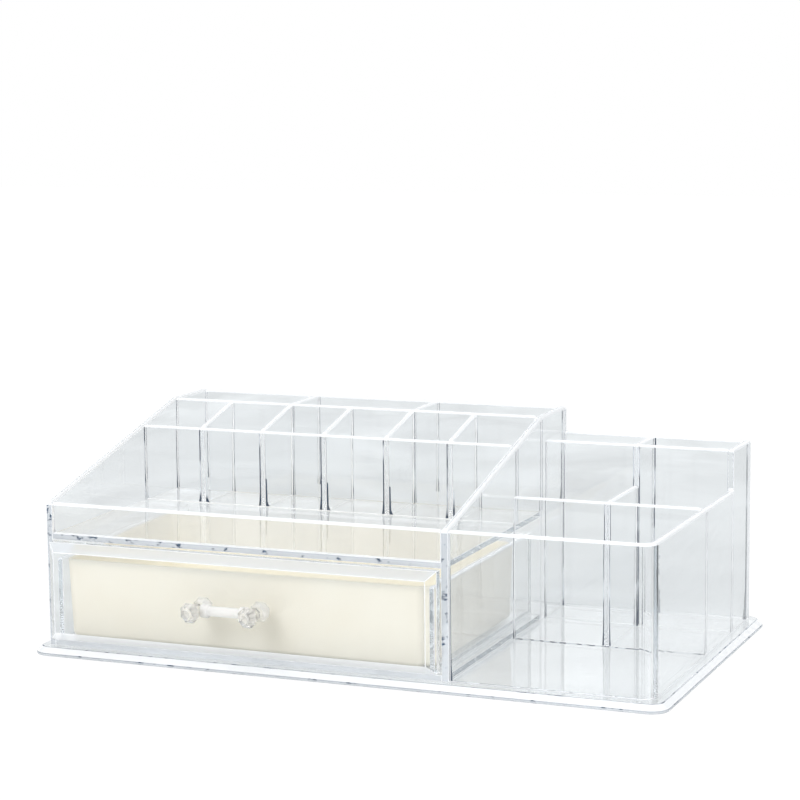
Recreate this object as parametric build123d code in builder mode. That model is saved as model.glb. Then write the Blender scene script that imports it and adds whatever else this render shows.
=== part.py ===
from build123d import *
import os

# A clear acrylic cosmetics organiser: a bonded housing of polished sheet, with an open tray
# and lipstick and brush slots over a drawer, and a block of bins at its right.
# X runs along the front, Y to the back and Z up. The origin is the middle of the base
# plate's underside. All sizes are in millimetres, and heights are above the base plate.

# The housing from outside
body_width = 352.0
body_depth = 195.0
front_height = 81.5
bin_back_height = 105.2
back_height = 119.6

# Sheet thicknesses
wall = 3.5
partition_thickness = 4.0
divider = 3.0
shelf = 3.4
polish_radius = 1.2

# The base plate and its bevelled flange
base_thickness = 4.6
flange = 8.2
base_corner_radius = 10.0
base_bevel = 3.2

# The drawer block at the left: distances are from the front plane to a wall's front face
block_width = 240.4
tray_height = 64.0
lipstick_wall_at = 109.8
brush_wall_at = 151.6
lipstick_slots = 6
brush_slots = 3

# The bins at the right
bin_corner_radius = 8.0
bin_middle_at = 102.2
bin_rear_at = 157.2

# The drawer
drawer_side_gap = 0.6
drawer_box_inset = 4.5
drawer_running_gap = 0.3
drawer_back_gap = 0.8
drawer_wall = 3.0
drawer_bottom_thickness = 2.5
drawer_box_height = 47.8
front_panel_thickness = 9.5
front_panel_bevel = 4.8
front_panel_foot_gap = 1.3
front_panel_head_gap = 0.5

# The flocked tray that lies in the drawer
liner_side_gap = 0.5
liner_front_gap = 1.5
liner_length = 126.0
liner_height = 44.3
liner_thickness = 2.0
liner_corner_radius = 6.0
liner_foot_radius = 3.0
liner_taper = 2.5

# The handle: two cut posts that stand on the front panel, and the bar between them
post_spacing = 34.2
post_sides = 8
post_foot_radius = 4.4
post_lobe_radius = 5.4
post_waist_radius = 3.4
post_tip_radius = 2.6
post_foot_lobe_at = 3.0
post_waist_start = 6.4
post_waist_length = 8.2
post_tip_lobe_at = 18.6
post_length = 23.5
bar_radius = 2.8
bar_collar_radius = 3.8
bar_collar_length = 4.0
bar_collar_slope = 1.2

# Places that follow from the sizes
left = -body_width / 2
right = body_width / 2
front = -body_depth / 2
back = body_depth / 2
base_top = base_thickness
bay_left = left + wall
bin_left = left + block_width
bay_right = bin_left - partition_thickness
bay_width = bay_right - bay_left
bin_right = right - wall
bin_width = bin_right - bin_left
back_wall_y = back - wall
lipstick_wall_y = front + lipstick_wall_at
brush_wall_y = front + brush_wall_at
bin_middle_y = front + bin_middle_at
bin_rear_y = front + bin_rear_at
bin_divider_x = bin_left + (bin_width - divider) / 2
bay_floor_top = base_top + shelf
tray_top = base_top + tray_height
tray_under = tray_top - shelf
lip_top = base_top + front_height
block_top = base_top + back_height
wall_polish = min(polish_radius, 0.4 * wall)
partition_polish = min(polish_radius, 0.4 * partition_thickness)
divider_polish = min(polish_radius, 0.4 * divider)


def slope_top(y):
    """Height of the sloping sides above a place between the lip and the brush wall."""
    return lip_top + (block_top - lip_top) * (y - front) / (brush_wall_y - front)


def slot_starts(count):
    """Left faces of the dividers that share the block's inner width into equal slots."""
    slot = (bay_width - (count - 1) * divider) / count
    return [bay_left + slot + i * (slot + divider) for i in range(count - 1)]


def top_arrises(piece, axis, lowest):
    """Edges of the faces across an axis that run along the top, above a height."""
    sides = piece.faces().filter_by(axis)
    arrises = sides.edges().filter_by(lambda e: abs(e.tangent_at(0).Z) < 0.9)
    return arrises.filter_by(lambda e: e.center().Z > lowest)


os.makedirs("parts", exist_ok=True)

# The base plate carries every wall and stands proud of them as a bevelled flange
with BuildPart() as base_plate:
    with BuildSketch(Plane.XY):
        RectangleRounded(body_width + 2 * flange, body_depth + 2 * flange, base_corner_radius)
    extrude(amount=base_thickness)
    chamfer(base_plate.faces().sort_by(Axis.Z)[-1].edges(), length=base_bevel)
base_plate.part.label = "base_plate"
export_step(base_plate.part, "parts/base_plate.step")

# The left wall and the partition have one outline: a slope from the lip to the brush wall,
# then level to the back
side_outline = [
    (front, base_top),
    (back, base_top),
    (back, block_top),
    (brush_wall_y, block_top),
    (front, lip_top),
]

with BuildPart() as left_side_wall:
    with BuildSketch(Plane.YZ.offset(left)):
        with BuildLine():
            Polyline(side_outline, close=True)
        make_face()
    extrude(amount=wall)
    fillet(top_arrises(left_side_wall, Axis.X, tray_top), radius=wall_polish)
left_side_wall.part.label = "left_side_wall"
export_step(left_side_wall.part, "parts/left_side_wall.step")

with BuildPart() as partition_wall:
    with BuildSketch(Plane.YZ.offset(bay_right)):
        with BuildLine():
            Polyline(side_outline, close=True)
        make_face()
    extrude(amount=partition_thickness)
    fillet(top_arrises(partition_wall, Axis.X, tray_top), radius=partition_polish)
partition_wall.part.label = "partition_wall"
export_step(partition_wall.part, "parts/partition_wall.step")

with BuildPart() as block_back_wall:
    with BuildSketch(Plane.XY.offset(base_top)):
        with Locations((bay_left, back_wall_y)):
            Rectangle(bay_width, wall, align=(Align.MIN, Align.MIN))
    extrude(amount=back_height)
    fillet(top_arrises(block_back_wall, Axis.Y, tray_top), radius=wall_polish)
block_back_wall.part.label = "block_back_wall"
export_step(block_back_wall.part, "parts/block_back_wall.step")

# The drawer's bay: its floor, its roof, which is the tray's floor, and the wall behind it,
# which goes on up between the lipsticks and the brushes
with BuildPart() as drawer_bay_floor:
    with BuildSketch(Plane.XY.offset(base_top)):
        with Locations((bay_left, front)):
            Rectangle(bay_width, brush_wall_at, align=(Align.MIN, Align.MIN))
    extrude(amount=shelf)
drawer_bay_floor.part.label = "drawer_bay_floor"
export_step(drawer_bay_floor.part, "parts/drawer_bay_floor.step")

with BuildPart() as tray_floor:
    with BuildSketch(Plane.XY.offset(tray_under)):
        with Locations((bay_left, front)):
            Rectangle(bay_width, brush_wall_at, align=(Align.MIN, Align.MIN))
    extrude(amount=shelf)
tray_floor.part.label = "tray_floor"
export_step(tray_floor.part, "parts/tray_floor.step")

with BuildPart() as brush_wall:
    with BuildSketch(Plane.XY.offset(base_top)):
        with Locations((bay_left, brush_wall_y)):
            Rectangle(bay_width, divider, align=(Align.MIN, Align.MIN))
    extrude(amount=back_height)
    fillet(top_arrises(brush_wall, Axis.Y, tray_top), radius=divider_polish)
brush_wall.part.label = "brush_wall"
export_step(brush_wall.part, "parts/brush_wall.step")

# The open tray's front lip, and the wall between the tray and the lipsticks
with BuildPart() as tray_lip:
    with BuildSketch(Plane.XY.offset(tray_top)):
        with Locations((bay_left, front)):
            Rectangle(bay_width, wall, align=(Align.MIN, Align.MIN))
    extrude(amount=lip_top - tray_top)
    fillet(top_arrises(tray_lip, Axis.Y, tray_top), radius=wall_polish)
tray_lip.part.label = "tray_lip"
export_step(tray_lip.part, "parts/tray_lip.step")

lipstick_wall_top = slope_top(lipstick_wall_y)

with BuildPart() as lipstick_wall:
    with BuildSketch(Plane.XY.offset(tray_top)):
        with Locations((bay_left, lipstick_wall_y)):
            Rectangle(bay_width, divider, align=(Align.MIN, Align.MIN))
    extrude(amount=lipstick_wall_top - tray_top)
    fillet(top_arrises(lipstick_wall, Axis.Y, tray_top), radius=divider_polish)
lipstick_wall.part.label = "lipstick_wall"
export_step(lipstick_wall.part, "parts/lipstick_wall.step")

# The lipstick dividers stand on the tray's floor, and their tops rise from wall to wall
lipstick_outline = [
    (lipstick_wall_y + divider, tray_top),
    (brush_wall_y, tray_top),
    (brush_wall_y, block_top),
    (lipstick_wall_y + divider, lipstick_wall_top),
]

for number, x in enumerate(slot_starts(lipstick_slots), start=1):
    with BuildPart() as lipstick_divider:
        with BuildSketch(Plane.YZ.offset(x)):
            with BuildLine():
                Polyline(lipstick_outline, close=True)
            make_face()
        extrude(amount=divider)
        fillet(top_arrises(lipstick_divider, Axis.X, tray_top), radius=divider_polish)
    lipstick_divider.part.label = f"lipstick_divider_{number}"
    export_step(lipstick_divider.part, f"parts/lipstick_divider_{number}.step")

# The brush dividers stand on the base plate, because the brush slots go all the way down
for number, x in enumerate(slot_starts(brush_slots), start=1):
    with BuildPart() as brush_divider:
        with BuildSketch(Plane.XY.offset(base_top)):
            with Locations((x, brush_wall_y + divider)):
                Rectangle(divider, back_wall_y - brush_wall_y - divider, align=(Align.MIN, Align.MIN))
        extrude(amount=back_height)
        fillet(top_arrises(brush_divider, Axis.X, tray_top), radius=divider_polish)
    brush_divider.part.label = f"brush_divider_{number}"
    export_step(brush_divider.part, f"parts/brush_divider_{number}.step")

# One sheet is bent round the bins' front right corner, and steps up beside the rear bins
inner_corner_radius = bin_corner_radius - wall

with BuildPart() as bin_bent_wall:
    with BuildSketch(Plane.XY.offset(base_top)):
        with BuildLine():
            Line((bin_left, front), (right - bin_corner_radius, front))
            JernArc((right - bin_corner_radius, front), (1, 0), bin_corner_radius, 90)
            Line((right, front + bin_corner_radius), (right, back))
            Line((right, back), (bin_right, back))
            Line((bin_right, back), (bin_right, front + bin_corner_radius))
            JernArc((bin_right, front + bin_corner_radius), (0, -1), inner_corner_radius, -90)
            Line((right - bin_corner_radius, front + wall), (bin_left, front + wall))
            Line((bin_left, front + wall), (bin_left, front))
        make_face()
    extrude(amount=front_height)
    low_top = bin_bent_wall.faces().sort_by(Axis.Z)[-1]
    fillet(low_top.edges().filter_by(lambda e: e.length > 2 * wall), radius=wall_polish)
    with BuildSketch(Plane.YZ.offset(bin_right)):
        with Locations((bin_rear_y, base_top)):
            Rectangle(back - bin_rear_y, bin_back_height, align=(Align.MIN, Align.MIN))
    extrude(amount=wall)
    fillet(top_arrises(bin_bent_wall, Axis.X, lip_top + wall), radius=wall_polish)
bin_bent_wall.part.label = "bin_bent_wall"
export_step(bin_bent_wall.part, "parts/bin_bent_wall.step")

with BuildPart() as bin_back_wall:
    with BuildSketch(Plane.XY.offset(base_top)):
        with Locations((bin_left, back_wall_y)):
            Rectangle(bin_width, wall, align=(Align.MIN, Align.MIN))
    extrude(amount=bin_back_height)
    fillet(top_arrises(bin_back_wall, Axis.Y, lip_top), radius=wall_polish)
bin_back_wall.part.label = "bin_back_wall"
export_step(bin_back_wall.part, "parts/bin_back_wall.step")

with BuildPart() as bin_middle_wall:
    with BuildSketch(Plane.XY.offset(base_top)):
        with Locations((bin_left, bin_middle_y)):
            Rectangle(bin_width, divider, align=(Align.MIN, Align.MIN))
    extrude(amount=front_height)
    fillet(top_arrises(bin_middle_wall, Axis.Y, tray_top), radius=divider_polish)
bin_middle_wall.part.label = "bin_middle_wall"
export_step(bin_middle_wall.part, "parts/bin_middle_wall.step")

with BuildPart() as bin_rear_wall:
    with BuildSketch(Plane.XY.offset(base_top)):
        with Locations((bin_left, bin_rear_y)):
            Rectangle(bin_width, divider, align=(Align.MIN, Align.MIN))
    extrude(amount=bin_back_height)
    fillet(top_arrises(bin_rear_wall, Axis.Y, tray_top), radius=divider_polish)
bin_rear_wall.part.label = "bin_rear_wall"
export_step(bin_rear_wall.part, "parts/bin_rear_wall.step")

with BuildPart() as bin_middle_divider:
    with BuildSketch(Plane.XY.offset(base_top)):
        with Locations((bin_divider_x, bin_middle_y + divider)):
            Rectangle(divider, bin_rear_y - bin_middle_y - divider, align=(Align.MIN, Align.MIN))
    extrude(amount=front_height)
    fillet(top_arrises(bin_middle_divider, Axis.X, tray_top), radius=divider_polish)
bin_middle_divider.part.label = "bin_middle_divider"
export_step(bin_middle_divider.part, "parts/bin_middle_divider.step")

with BuildPart() as bin_rear_divider:
    with BuildSketch(Plane.XY.offset(base_top)):
        with Locations((bin_divider_x, bin_rear_y + divider)):
            Rectangle(divider, back_wall_y - bin_rear_y - divider, align=(Align.MIN, Align.MIN))
    extrude(amount=bin_back_height)
    fillet(top_arrises(bin_rear_divider, Axis.X, tray_top), radius=divider_polish)
bin_rear_divider.part.label = "bin_rear_divider"
export_step(bin_rear_divider.part, "parts/bin_rear_divider.step")

# The drawer, shown shut: it stops against the brush wall. Its front panel is wider than its box
drawer_left = bay_left + drawer_side_gap
drawer_right = bay_right - drawer_side_gap
drawer_width = drawer_right - drawer_left
drawer_middle_x = (drawer_left + drawer_right) / 2
box_left = drawer_left + drawer_box_inset
box_right = drawer_right - drawer_box_inset
drawer_under = bay_floor_top + drawer_running_gap
drawer_floor_top = drawer_under + drawer_bottom_thickness
drawer_back_y = brush_wall_y - drawer_back_gap
drawer_inner_back_y = drawer_back_y - drawer_wall
drawer_inner_width = box_right - box_left - 2 * drawer_wall
panel_bottom = bay_floor_top + front_panel_foot_gap
panel_top = tray_under - front_panel_head_gap
panel_face_y = front - front_panel_thickness
drawer_polish = min(polish_radius, 0.4 * drawer_wall)

with BuildPart() as drawer_front:
    with BuildSketch(Plane.XY.offset(panel_bottom)):
        with Locations((drawer_left, panel_face_y)):
            Rectangle(drawer_width, front_panel_thickness, align=(Align.MIN, Align.MIN))
    extrude(amount=panel_top - panel_bottom)
    chamfer(drawer_front.faces().sort_by(Axis.Y)[0].edges(), length=front_panel_bevel)
drawer_front.part.label = "drawer_front"
export_step(drawer_front.part, "parts/drawer_front.step")

for name, x in [("drawer_left_side", box_left), ("drawer_right_side", box_right - drawer_wall)]:
    with BuildPart() as drawer_side:
        with BuildSketch(Plane.XY.offset(drawer_under)):
            with Locations((x, front)):
                Rectangle(drawer_wall, drawer_back_y - front, align=(Align.MIN, Align.MIN))
        extrude(amount=drawer_box_height)
        fillet(top_arrises(drawer_side, Axis.X, drawer_floor_top), radius=drawer_polish)
    drawer_side.part.label = name
    export_step(drawer_side.part, f"parts/{name}.step")

with BuildPart() as drawer_back:
    with BuildSketch(Plane.XY.offset(drawer_under)):
        with Locations((box_left + drawer_wall, drawer_inner_back_y)):
            Rectangle(drawer_inner_width, drawer_wall, align=(Align.MIN, Align.MIN))
    extrude(amount=drawer_box_height)
    fillet(top_arrises(drawer_back, Axis.Y, drawer_floor_top), radius=drawer_polish)
drawer_back.part.label = "drawer_back"
export_step(drawer_back.part, "parts/drawer_back.step")

with BuildPart() as drawer_bottom:
    with BuildSketch(Plane.XY.offset(drawer_under)):
        with Locations((box_left + drawer_wall, front)):
            Rectangle(drawer_inner_width, drawer_inner_back_y - front, align=(Align.MIN, Align.MIN))
    extrude(amount=drawer_bottom_thickness)
drawer_bottom.part.label = "drawer_bottom"
export_step(drawer_bottom.part, "parts/drawer_bottom.step")

# The flocked tray narrows towards its floor, as a formed tray does
liner_width = drawer_inner_width - 2 * liner_side_gap
liner_middle_y = front + liner_front_gap + liner_length / 2

with BuildPart() as velvet_liner:
    with BuildSketch(Plane.XY.offset(drawer_floor_top + liner_height)):
        with Locations((drawer_middle_x, liner_middle_y)):
            RectangleRounded(liner_width, liner_length, liner_corner_radius)
    extrude(amount=-liner_height, taper=liner_taper)
    fillet(velvet_liner.faces().sort_by(Axis.Z)[0].edges(), radius=liner_foot_radius)
    with BuildSketch(Plane.XY.offset(drawer_floor_top + liner_height)):
        with Locations((drawer_middle_x, liner_middle_y)):
            RectangleRounded(
                liner_width - 2 * liner_thickness,
                liner_length - 2 * liner_thickness,
                liner_corner_radius - liner_thickness,
            )
    extrude(amount=liner_thickness - liner_height, taper=liner_taper, mode=Mode.SUBTRACT)
    liner_floor = velvet_liner.faces().filter_by(Axis.Z).sort_by(Axis.Z)[1]
    fillet(liner_floor.edges(), radius=liner_foot_radius - liner_thickness)
    fillet(velvet_liner.faces().sort_by(Axis.Z)[-1].edges(), radius=0.4 * liner_thickness)
velvet_liner.part.label = "velvet_liner"
export_step(velvet_liner.part, "parts/velvet_liner.step")

# The handle: each post is cut in flat facets, with a lobe at the panel and one at its tip
handle_z = (panel_bottom + panel_top) / 2
post_waist_end = post_waist_start + post_waist_length
post_sections = [
    (0, post_foot_radius),
    (post_foot_lobe_at, post_lobe_radius),
    (post_waist_start, post_waist_radius),
    (post_waist_end, post_waist_radius),
    (post_tip_lobe_at, post_lobe_radius),
    (post_length, post_tip_radius),
]
post_facet_turn = 180 / post_sides

for name, x in [
    ("handle_left_post", drawer_middle_x - post_spacing / 2),
    ("handle_right_post", drawer_middle_x + post_spacing / 2),
]:
    with BuildPart() as handle_post:
        for distance, radius in post_sections:
            with BuildSketch(Plane((x, panel_face_y - distance, handle_z), x_dir=(1, 0, 0), z_dir=(0, -1, 0))):
                RegularPolygon(radius, post_sides, major_radius=False, rotation=post_facet_turn)
        loft(ruled=True)
    handle_post.part.label = name
    export_step(handle_post.part, f"parts/{name}.step")

# The bar is turned, and a collar at each end meets a flat of the post's waist
bar_half = post_spacing / 2 - post_waist_radius
bar_y = panel_face_y - (post_waist_start + post_waist_end) / 2
bar_outline = [
    (-bar_half, 0),
    (-bar_half, bar_collar_radius),
    (-bar_half + bar_collar_length, bar_collar_radius),
    (-bar_half + bar_collar_length + bar_collar_slope, bar_radius),
    (bar_half - bar_collar_length - bar_collar_slope, bar_radius),
    (bar_half - bar_collar_length, bar_collar_radius),
    (bar_half, bar_collar_radius),
    (bar_half, 0),
]

with BuildPart() as handle_bar:
    with BuildSketch(Plane((drawer_middle_x, bar_y, handle_z), x_dir=(1, 0, 0), z_dir=(0, -1, 0))):
        with BuildLine():
            Polyline(bar_outline, close=True)
        make_face()
    revolve(axis=Axis((drawer_middle_x, bar_y, handle_z), (1, 0, 0)))
handle_bar.part.label = "handle_bar"
export_step(handle_bar.part, "parts/handle_bar.step")
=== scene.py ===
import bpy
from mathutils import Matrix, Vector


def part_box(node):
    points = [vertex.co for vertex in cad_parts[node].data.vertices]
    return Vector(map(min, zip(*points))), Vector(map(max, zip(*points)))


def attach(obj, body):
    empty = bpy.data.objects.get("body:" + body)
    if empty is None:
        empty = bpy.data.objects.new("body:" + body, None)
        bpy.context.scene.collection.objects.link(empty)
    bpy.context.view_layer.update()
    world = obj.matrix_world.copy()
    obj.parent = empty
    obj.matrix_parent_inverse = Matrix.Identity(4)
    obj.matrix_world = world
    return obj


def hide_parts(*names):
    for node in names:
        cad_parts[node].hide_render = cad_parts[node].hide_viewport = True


bl_info = {
    "name": "Acrylic drawer organiser",
    "version": (1, 0, 0),
    "blender": (4, 5, 0),
    "location": "3D View > Sidebar > Organiser",
    "description": "Builds a clear acrylic organiser with its flocked drawer and a studio stage",
    "category": "Object",
}

import math

import bmesh
import bpy
import numpy as np
from bpy.props import FloatProperty, FloatVectorProperty, IntProperty, PointerProperty
from mathutils import Matrix, Vector

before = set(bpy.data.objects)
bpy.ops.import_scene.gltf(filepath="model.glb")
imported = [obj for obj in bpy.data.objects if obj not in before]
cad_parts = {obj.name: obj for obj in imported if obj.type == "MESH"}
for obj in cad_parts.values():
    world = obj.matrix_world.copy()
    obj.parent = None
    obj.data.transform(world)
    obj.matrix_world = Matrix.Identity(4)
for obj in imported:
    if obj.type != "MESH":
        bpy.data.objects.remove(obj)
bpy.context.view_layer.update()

MM = 0.001
# A sheet's finishes, numbered as its materials are.
FACES, POLISHED_GLOW, CEMENT_SHADE, SAWN, PLAIN, FOOT_CEMENT_SHADE = range(6)
# The finish of the faces that look in a direction.
SAWN_FRONT = [((0, -1, 0), SAWN)]
PLAIN_FRONT = [((0, -1, 0), PLAIN)]
BRIGHT_SIDES = [((-1, 0, 0), POLISHED_GLOW), ((1, 0, 0), POLISHED_GLOW)]
BRIGHT_BACK = [((0, 1, 0), POLISHED_GLOW)]
# The first three finishes, by the names of a row's inputs.
ROW_FINISHES = ("Faces", "Edges", "Seams")
# How far the cement stays off the sheets, and below their tops.
SEAM_GAP = 0.03 * MM
SEAM_END = 1.5 * MM
# Unit directions count as the same above ALIGNED. A face leans to an axis above LEANING.
ALIGNED = 0.9
LEANING = 0.1
# The angle above which an edge is bevelled.
SHARP = math.radians(25)


def size(name, description, default, low=0.0, high=1.0):
    """A length in metres that a user may change."""
    return FloatProperty(
        name=name,
        description=description,
        default=default,
        min=low,
        max=high,
        unit="LENGTH",
        precision=5,
    )


def tone(name, description, default):
    """A colour that a user may change."""
    return FloatVectorProperty(
        name=name, description=description, default=default, size=3, min=0, max=1, subtype="COLOR"
    )


def amount(name, description, default, low=0.0, high=10.0):
    """A plain number that a user may change."""
    return FloatProperty(name=name, description=description, default=default, min=low, max=high)


class OrganiserSheetSettings(bpy.types.PropertyGroup):
    """The clear sheets that the organiser is bonded from."""

    polish: amount("Polish", "Rounding of a top edge, as a share of the thickness", 0.46, 0.0, 0.49)
    arris: size("Arris", "Small bevel on every other edge", 0.25 * MM)
    bond: size("Bond", "Half the thickness of a bonded joint", 0.02 * MM)
    tint: tone("Tint", "What one surface of the sheet lets through", (0.99, 0.992, 0.993))
    depth_tint: tone("Depth tint", "Colour that light takes on in the sheet", (0.55, 0.64, 0.70))
    density: amount("Density", "How fast light takes on that tint, per metre", 3.0, 0.0, 1000.0)
    edge: tone("Edge", "Colour of the polished edges", (0.96, 0.97, 0.985))
    # Strength of the painted glow of the polished edges: an emission that stands in for their
    # highlights.
    painted_glow: amount("Piped light", "Light that a polished edge carries out", 0.12, 0.0, 1.0)
    edge_clear: amount("Edge clearness", "How much of a polished edge is clear", 0.28, 0.0, 1.0)
    veil: tone("Veil", "Share of lamp and soft light that a face lets through", (0.975,) * 3)
    ior: amount("Refraction", "Index of refraction of the sheet", 1.49, 1.0, 2.0)
    wave: amount("Wave", "Strength of the cast surface's slow waves", 0.12, 0.0, 1.0)
    # Reaches of the cement strips, which carry painted shade in the corners and along the feet.
    seam: size("Seam", "Reach of the cement in an upright corner", 0.7 * MM)
    seam_foot: size("Seam foot", "Reach of that cement at its foot", 1.6 * MM)
    foot_seam: size("Foot seam", "Reach of the cement along the feet of the bins' sheets", 0.4 * MM)
    sawn: tone("Sawn edge", "Colour of the sawn edges with marks", (0.60, 0.635, 0.68))
    plain: tone("Plain cut edge", "Colour of the cut edges without marks", (0.78, 0.81, 0.85))
    # Near-black colour: the dark marks on the sawn edges, and painted shade in the joints, where it
    # stands in for the light they bend away.
    cement_marks_and_shade: tone("Cement", "Colour of the cement in the joints", (0.015, 0.04, 0.09))


class OrganiserBaseSettings(bpy.types.PropertyGroup):
    """The base plate."""

    corner: size("Corner radius", "Radius of the plate's corners", 10.0 * MM)
    bevel: size("Flange bevel", "Bevel along the top of the flange", 3.2 * MM)
    line: size("Flange lines", "Width of the eased edges that show as lines", 0.36 * MM)


class OrganiserDrawerSettings(bpy.types.PropertyGroup):
    """The drawer's front panel and its handle."""

    bevel: size("Panel bevel", "Bevel round the front panel's face", 4.8 * MM)
    sides: IntProperty(
        name="Post facets", description="Facets round a handle post", default=8, min=3, max=24
    )
    foot: size("Foot radius", "Radius of a post where it meets the panel", 4.4 * MM)
    lobe: size("Lobe radius", "Radius of a post's two lobes", 5.4 * MM)
    waist: size("Waist radius", "Radius of a post where the bar joins it", 3.4 * MM)
    tip: size("Tip radius", "Radius of a post's flat tip", 2.6 * MM)
    bar: size("Bar radius", "Radius of the bar between its collars", 2.8 * MM)
    cut: tone("Cut acrylic", "Colour of the handle's facets", (0.97, 0.97, 0.97))


class OrganiserFlockSettings(bpy.types.PropertyGroup):
    """The flocked tray in the drawer."""

    colour: tone("Flock", "Colour of the flock", (0.95, 0.915, 0.80))
    shade: tone("Laid nap", "Colour where the nap lies away", (0.925, 0.88, 0.755))
    thickness: size("Wall", "Thickness of the tray's wall", 2.0 * MM)
    corner: size("Corner radius", "Radius of the tray's upright corners", 6.0 * MM)
    foot: size("Foot radius", "Radius between the wall and the floor", 3.0 * MM)
    taper: amount("Taper", "Lean of the walls in degrees", 2.5, 0.0, 20.0)


class OrganiserStageSettings(bpy.types.PropertyGroup):
    """The studio round the object."""

    floor: tone("Floor", "Colour of the floor", (0.80, 0.81, 0.82))
    sky: tone("Studio", "Light that the sheets show and mirror", (0.80, 0.84, 0.86))
    dark: tone("Dark side", "The studio's dark side behind the camera", (0.36, 0.39, 0.44))


class OrganiserSettings(bpy.types.PropertyGroup):
    """All sizes and colours of the organiser."""

    sheet: PointerProperty(type=OrganiserSheetSettings)
    base: PointerProperty(type=OrganiserBaseSettings)
    drawer: PointerProperty(type=OrganiserDrawerSettings)
    flock: PointerProperty(type=OrganiserFlockSettings)
    stage: PointerProperty(type=OrganiserStageSettings)


def settings():
    """The sizes and colours that are in use."""
    return bpy.context.scene.organiser


def add_node(tree, kind, inputs=None, **options):
    """Adds a node with its options. An input takes a value, or the output of another node."""
    node = tree.nodes.new(kind)
    for name, value in options.items():
        setattr(node, name, value)
    for socket, value in (inputs or {}).items():
        if isinstance(value, bpy.types.NodeSocket):
            tree.links.new(value, node.inputs[socket])
        else:
            node.inputs[socket].default_value = value
    return node


def calculate(tree, operation, first, second):
    """Two values put together by the named operation."""
    return add_node(tree, "ShaderNodeMath", {0: first, 1: second}, operation=operation).outputs[0]


def carry(tree, value, start, end, **options):
    """A value carried from one range to another."""
    inputs = {
        "Value": value,
        "From Min": start[0],
        "From Max": start[1],
        "To Min": end[0],
        "To Max": end[1],
    }
    return add_node(tree, "ShaderNodeMapRange", inputs, **options).outputs["Result"]


def noise(tree, scale, stretch=None, space="Object", detail=2.0, distortion=0.0):
    """A noise in a space, which may be stretched along its axes."""
    place = add_node(tree, "ShaderNodeTexCoord").outputs[space]
    if stretch:
        mapping = add_node(tree, "ShaderNodeMapping", {"Vector": place, "Scale": stretch})
        place = mapping.outputs["Vector"]
    inputs = {"Vector": place, "Scale": scale, "Detail": detail, "Distortion": distortion}
    return add_node(tree, "ShaderNodeTexNoise", inputs).outputs["Fac"]


def tones(tree, value, stops):
    """The colours that a value passes through at the stops."""
    ramp = add_node(tree, "ShaderNodeValToRGB", {"Fac": value})
    elements = ramp.color_ramp.elements
    while len(elements) < len(stops):
        elements.new(0.5)
    for element, (position, colour) in zip(elements, stops):
        element.position = position
        element.color = (*colour, 1)
    return ramp.outputs["Color"]


def bump(tree, shader, height, strength, distance):
    """Lets a height bend a shader's normal."""
    inputs = {"Height": height, "Strength": strength, "Distance": distance}
    bent = add_node(tree, "ShaderNodeBump", inputs)
    tree.links.new(bent.outputs["Normal"], shader.inputs["Normal"])


def blend_shaders(tree, share, first, second):
    """The blend of two shaders, by the share of the second."""
    return add_node(tree, "ShaderNodeMixShader", {"Fac": share, 1: first, 2: second}).outputs[0]


def pane_shader(tree, clearness, roughness, colour, veil=None):
    """Clear plastic, and its surface, which lets lamp light and soft light straight through."""
    values = settings().sheet
    pane = add_node(
        tree,
        "ShaderNodeBsdfPrincipled",
        {
            "Base Color": (*colour, 1),
            "Roughness": roughness,
            "IOR": values.ior,
            "Transmission Weight": clearness,
        },
    )
    through = add_node(tree, "ShaderNodeBsdfTransparent", {"Color": (*(veil or values.veil), 1)})
    path = add_node(tree, "ShaderNodeLightPath").outputs
    either = calculate(tree, "MAXIMUM", path["Is Shadow Ray"], path["Is Diffuse Ray"])
    return pane, blend_shaders(tree, either, pane.outputs[0], through.outputs[0])


def depth_tint(tree):
    """The cool tint that light takes on inside a sheet."""
    values = settings().sheet
    inputs = {"Color": (*values.depth_tint, 1), "Density": values.density}
    return add_node(tree, "ShaderNodeVolumeAbsorption", inputs).outputs[0]


def output(tree, surface, **inputs):
    """Ends a material in its surface, and in what fills it."""
    add_node(tree, "ShaderNodeOutputMaterial", {"Surface": surface, **inputs})


def clear_acrylic(tree):
    """Clear cast sheet: slow waves in its faces, and a cool tint in its depth."""
    values = settings().sheet
    pane, surface = pane_shader(tree, clearness=1.0, roughness=0.0, colour=values.tint)
    waves = noise(tree, scale=45.0, stretch=(0.35, 0.35, 1.6))
    bump(tree, pane, waves, strength=values.wave, distance=1.0 * MM)
    output(tree, surface, Volume=depth_tint(tree))


def polished_edge_glow(tree):
    """A flame-polished edge: whiter than the faces, with the fine drag lines of the flame, and a
    painted glow that stands in for its highlights.
    """
    values = settings().sheet
    pane, surface = pane_shader(tree, values.edge_clear, roughness=0.15, colour=values.edge)
    # Painted glow: the edge emits light of its own.
    pane.inputs["Emission Color"].default_value = (0.97, 0.985, 1.0, 1)
    pane.inputs["Emission Strength"].default_value = values.painted_glow
    bump(tree, pane, noise(tree, scale=300.0), strength=0.03, distance=0.2 * MM)
    output(tree, surface, Volume=depth_tint(tree))


def plain_cut_edge(tree):
    """A cut edge without marks: a pale satin, faintly uneven."""
    plain = settings().sheet.plain
    pane, surface = pane_shader(tree, clearness=0.55, roughness=0.12, colour=plain)
    bump(tree, pane, noise(tree, scale=170.0), strength=0.2, distance=0.2 * MM)
    output(tree, surface)


def sawn_edge(tree):
    """An edge left as it was sawn: a grey satin with small dark marks of the saw and the cement."""
    values = settings().sheet
    pane, surface = pane_shader(tree, clearness=0.55, roughness=0.12, colour=values.sawn)
    marks = noise(tree, scale=170.0, stretch=(1.0, 1.0, 1.6))
    colour = tones(tree, marks, [(0.33, values.cement_marks_and_shade), (0.42, values.sawn)])
    tree.links.new(colour, pane.inputs["Base Color"])
    bump(tree, pane, marks, strength=0.2, distance=0.2 * MM)
    output(tree, surface)


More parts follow.
